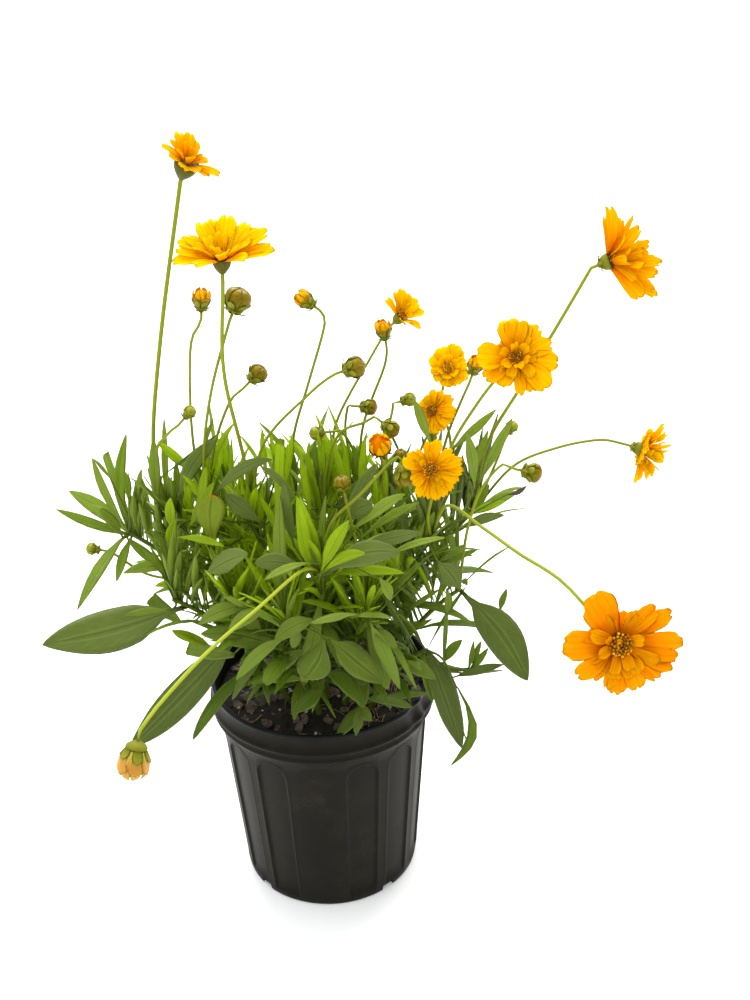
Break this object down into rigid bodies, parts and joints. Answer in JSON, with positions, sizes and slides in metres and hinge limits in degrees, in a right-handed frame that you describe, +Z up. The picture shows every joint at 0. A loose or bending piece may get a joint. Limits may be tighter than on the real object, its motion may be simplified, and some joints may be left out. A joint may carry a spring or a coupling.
{
  "type": "potted flowering perennial",
  "caption": "Clump of leafy stems in a fluted black nursery pot, with thin stalks carrying golden semi-double daisy-like blooms and round buds.",
  "frame": {"origin": "centre of the pot's base, on the surface that it stands on", "axes": "+Z up, the front of the plant faces -Y, +X to the right seen from the front"},
  "size_m": [0.418, 0.4177, 0.5606],
  "materials": {
    "pot": "thin black moulded plastic, satin, with light scuffs",
    "potting_mix": "moist dark compost with bark chips and perlite",
    "foliage": "soft green leaf, satin, finely haired, with a pale midrib",
    "petals": "thin golden petal, matt, ribbed lengthwise",
    "florets": "grainy brown-orange florets",
    "bronze_bud": "smooth bronze-green bud scales",
    "opening_bud": "golden petal tips showing between the bud scales"
  },
  "bodies": {
    "root": {"pot": "pot", "soil": "potting_mix", "stem_far_left": "foliage", "stem_left_tall": "foliage", "stem_left_front": "foliage", "stem_front_left": "foliage", "stem_left_mid": "foliage", "stem_left_inner": "foliage", "stem_mid_left": "foliage", "stem_mid": "foliage", "stem_mid_back": "foliage", "stem_mid_right": "foliage", "stem_right_inner": "foliage", "stem_right_mid": "foliage", "stem_right_front": "foliage", "stem_far_right": "foliage", "stem_right_low": "foliage", "stem_rim_right": "foliage", "stem_front": "foliage", "stem_front_right": "foliage", "stem_front_near": "foliage", "stem_back_left": "foliage", "stem_back": "foliage", "stem_back_right": "foliage", "bloom_01_petals": "petals", "bloom_02_petals": "petals", "bloom_03_petals": "petals", "bloom_04_petals": "petals", "bloom_05_petals": "petals", "bloom_06_petals": "petals", "bloom_07_petals": "petals", "bloom_08_petals": "petals", "bloom_09_petals": "petals", "bloom_10_petals": "petals", "bloom_02_disc": "florets", "bloom_03_disc": "florets", "bloom_04_disc": "florets", "bloom_05_disc": "florets", "bloom_06_disc": "florets", "bloom_07_disc": "florets", "bloom_08_disc": "florets", "bloom_09_disc": "florets", "bloom_10_disc": "florets", "bud_01": "opening_bud", "bud_02": "bronze_bud", "bud_03": "bronze_bud", "bud_05": "opening_bud", "bud_06": "bronze_bud", "bud_07": "opening_bud", "bud_09": "bronze_bud", "bud_10": "bronze_bud", "bud_12": "opening_bud", "bud_13": "bronze_bud", "bud_14": "bronze_bud", "bud_15": "bronze_bud", "bud_16": "opening_bud", "bud_18": "bronze_bud", "bud_19": "opening_bud"}
  },
  "joints": []
}
